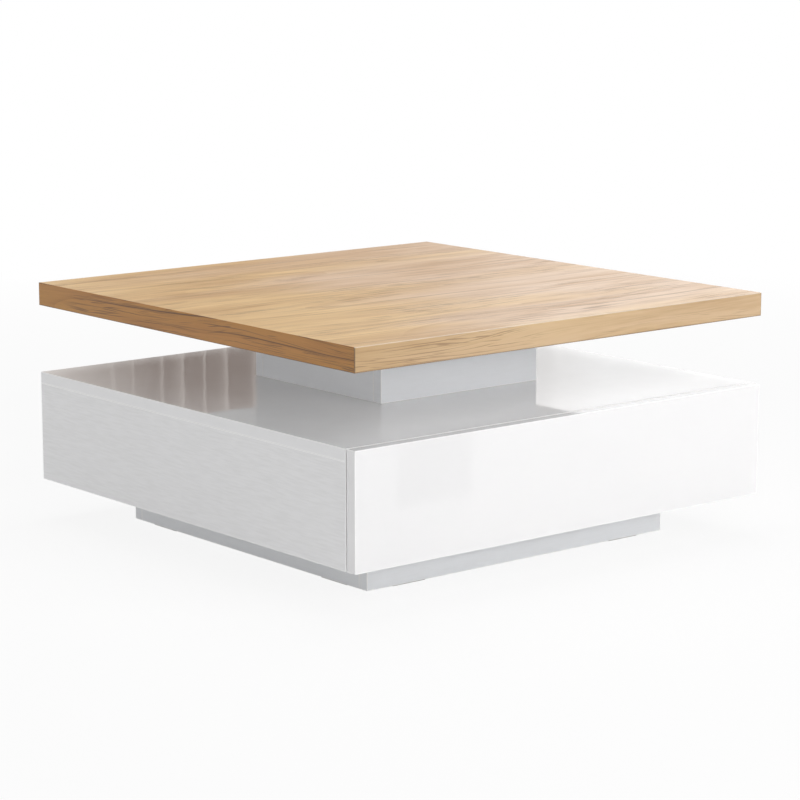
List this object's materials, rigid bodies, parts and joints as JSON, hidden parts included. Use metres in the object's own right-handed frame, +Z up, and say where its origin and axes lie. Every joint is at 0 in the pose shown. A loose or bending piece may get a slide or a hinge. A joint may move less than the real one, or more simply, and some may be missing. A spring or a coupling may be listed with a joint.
{
  "type": "swivel coffee table",
  "caption": "Low square coffee table: an oak-look top that swivels on a pedestal above a white gloss box with a push-to-open drawer and a set-back plinth.",
  "frame": {"origin": "on the floor, under the centre of the square table and on the swivel axis", "axes": "+Z up along the swivel axis, the drawer opens towards -Y, +X to the right of a person facing the drawer front"},
  "size_m": [0.8, 0.8, 0.38],
  "materials": {
    "oak_decor": "oak-look decor with a satin embossed grain",
    "raw_particle_board": "raw particle board",
    "honeycomb_paper": "brown kraft paper",
    "zinc_steel": "bright zinc plate",
    "ball_steel": "polished hardened steel",
    "zinc_casting": "as-cast zinc alloy",
    "cage_plastic": "black nylon",
    "white_gloss": "board with a white high-gloss lacquer",
    "white_matt": "board with a white matt melamine face",
    "beech": "planed beech",
    "felt": "pressed wool felt",
    "latch_plastic": "grey moulded plastic"
  },
  "bodies": {
    "base": {"base_screws": "zinc_steel", "box_back_panel": "white_gloss", "box_bottom_panel": "white_matt", "box_cam_bolts": "zinc_steel", "box_cam_locks": "zinc_casting", "box_divider": "white_matt", "box_left_side": "white_gloss", "box_right_side": "white_gloss", "box_top_panel": "white_gloss", "cabinet_screws": "zinc_steel", "latch_housings": "latch_plastic", "pedestal_back_board": "white_gloss", "pedestal_battens": "beech", "pedestal_front_board": "white_gloss", "pedestal_left_board": "white_gloss", "pedestal_right_board": "white_gloss", "pedestal_top_board": "white_matt", "plinth_back_board": "white_gloss", "plinth_corner_blocks": "beech", "plinth_front_board": "white_gloss", "plinth_left_board": "white_gloss", "plinth_pads": "felt", "plinth_right_board": "white_gloss", "runner_left_outer": "zinc_steel", "runner_right_outer": "zinc_steel", "swivel_lower_plate": "zinc_steel", "swivel_lower_screws": "zinc_steel", "swivel_pivot_rivet": "zinc_steel", "wooden_dowels": "beech"},
    "top": {"swivel_upper_plate": "zinc_steel", "swivel_upper_screws": "zinc_steel", "tabletop_back_edge": "oak_decor", "tabletop_bottom_facing": "oak_decor", "tabletop_front_edge": "oak_decor", "tabletop_honeycomb": "honeycomb_paper", "tabletop_left_edge": "oak_decor", "tabletop_long_rails": "raw_particle_board", "tabletop_right_edge": "oak_decor", "tabletop_short_rails": "raw_particle_board", "tabletop_swivel_block": "raw_particle_board", "tabletop_top_facing": "oak_decor"},
    "ball_ring": {"swivel_ball_cage": "cage_plastic", "swivel_balls": "ball_steel"},
    "drawer": {"drawer_back": "white_matt", "drawer_bottom": "white_matt", "drawer_dowels": "beech", "drawer_front": "white_gloss", "drawer_inner_front": "white_matt", "drawer_left_side": "white_matt", "drawer_right_side": "white_matt", "drawer_screws": "zinc_steel", "latch_strikes": "zinc_steel", "runner_left_inner": "zinc_steel", "runner_right_inner": "zinc_steel"},
    "left_runner_slide": {"runner_left_balls": "ball_steel", "runner_left_middle": "zinc_steel"},
    "right_runner_slide": {"runner_right_balls": "ball_steel", "runner_right_middle": "zinc_steel"},
    "left_latch_plunger": {"latch_left_plunger": "latch_plastic"},
    "right_latch_plunger": {"latch_right_plunger": "latch_plastic"}
  },
  "joints": [
    {"name": "top_swivel", "type": "hinge", "parent": "base", "child": "top", "pos_m": [0, 0, 0.344], "axis": [0, 0, 1], "continuous": true},
    {"name": "ball_ring_turn", "type": "hinge", "parent": "base", "child": "ball_ring", "pos_m": [0, 0, 0.3395], "axis": [0, 0, 1], "continuous": true},
    {"name": "drawer_slide", "type": "slide", "parent": "base", "child": "drawer", "axis": [0, -1, 0], "range_m": [0, 0.48]},
    {"name": "left_runner_travel", "type": "slide", "parent": "base", "child": "left_runner_slide", "axis": [0, -1, 0], "range_m": [0, 0.24]},
    {"name": "right_runner_travel", "type": "slide", "parent": "base", "child": "right_runner_slide", "axis": [0, -1, 0], "range_m": [0, 0.24]},
    {"name": "left_latch_press", "type": "slide", "parent": "base", "child": "left_latch_plunger", "axis": [0, 1, 0], "range_m": [0, 0.0025], "stiffness_N_per_m": 600},
    {"name": "right_latch_press", "type": "slide", "parent": "base", "child": "right_latch_plunger", "axis": [0, 1, 0], "range_m": [0, 0.0025], "stiffness_N_per_m": 600}
  ],
  "couplings": [
    {"joint": "ball_ring_turn", "follows": "top_swivel", "ratio": 0.5},
    {"joint": "left_runner_travel", "follows": "drawer_slide", "ratio": 0.5},
    {"joint": "right_runner_travel", "follows": "drawer_slide", "ratio": 0.5}
  ]
}
